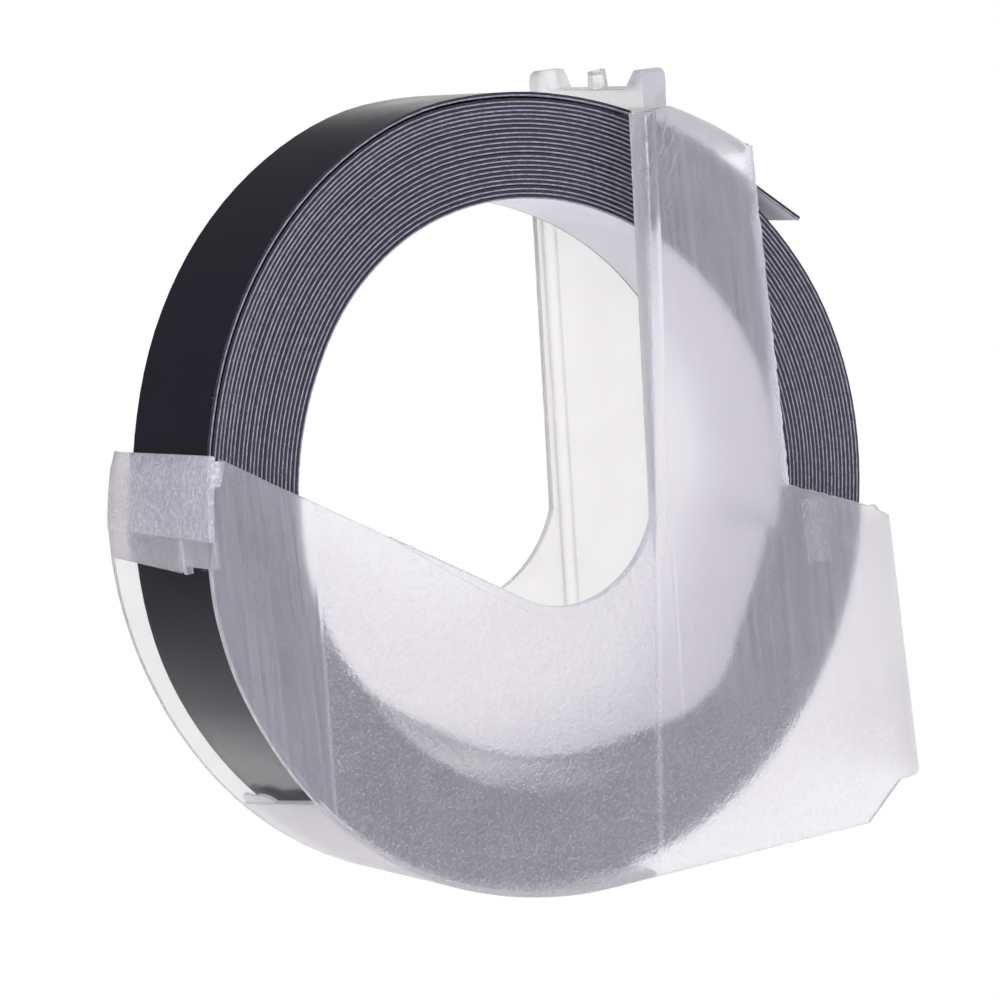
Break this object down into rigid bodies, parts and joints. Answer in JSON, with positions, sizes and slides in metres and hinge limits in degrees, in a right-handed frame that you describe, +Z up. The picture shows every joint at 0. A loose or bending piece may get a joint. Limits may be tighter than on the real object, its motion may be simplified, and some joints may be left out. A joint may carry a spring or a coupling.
{
  "type": "embossing tape magazine",
  "caption": "Translucent snap-shut case round a hubless coil of glossy embossing tape, with a lugged arm that locates it in a label maker.",
  "frame": {"origin": "centre of the bounding box's underside, where the case's straight bottom edge stands", "axes": "+X from the latch towards the spine, +Y along the coil's axis from the cover to the tray, +Z up to the arms' lugs"},
  "size_m": [0.0532, 0.0148, 0.0516],
  "materials": {
    "case_plastic": "frosted translucent moulding",
    "tape_vinyl": "smooth gloss",
    "tape_liner": "satin"
  },
  "bodies": {
    "tray": {"tray_plate": "case_plastic", "tray_arm": "case_plastic", "rim_wall": "case_plastic", "top_wall": "case_plastic", "spine_wall": "case_plastic", "arm_bridge": "case_plastic", "latch_strap": "case_plastic"},
    "cover": {"cover_plate": "case_plastic", "cover_arm": "case_plastic", "cover_corner": "case_plastic", "latch_tongue": "case_plastic"},
    "coil": {"tape_coil": "tape_vinyl", "tape_tail": "tape_liner"},
    "leader": {"tape_leader": "tape_vinyl"}
  },
  "joints": [
    {"name": "cover_hinge", "type": "hinge", "parent": "tray", "child": "cover", "pos_m": [0.0266, -0.0034, 0.0258], "axis": [0, 0, 1], "range_deg": [0, 90]},
    {"name": "coil_spin", "type": "hinge", "parent": "tray", "child": "coil", "pos_m": [-0.0008, 0.0003, 0.0258], "axis": [0, 1, 0], "range_deg": [0, 30]},
    {"name": "leader_feed", "type": "slide", "parent": "tray", "child": "leader", "axis": [0.7934, 0, -0.6088], "range_m": [0, 0.0133]}
  ],
  "couplings": [
    {"joint": "leader_feed", "follows": "coil_spin", "m_per_rad": 0.0252}
  ]
}
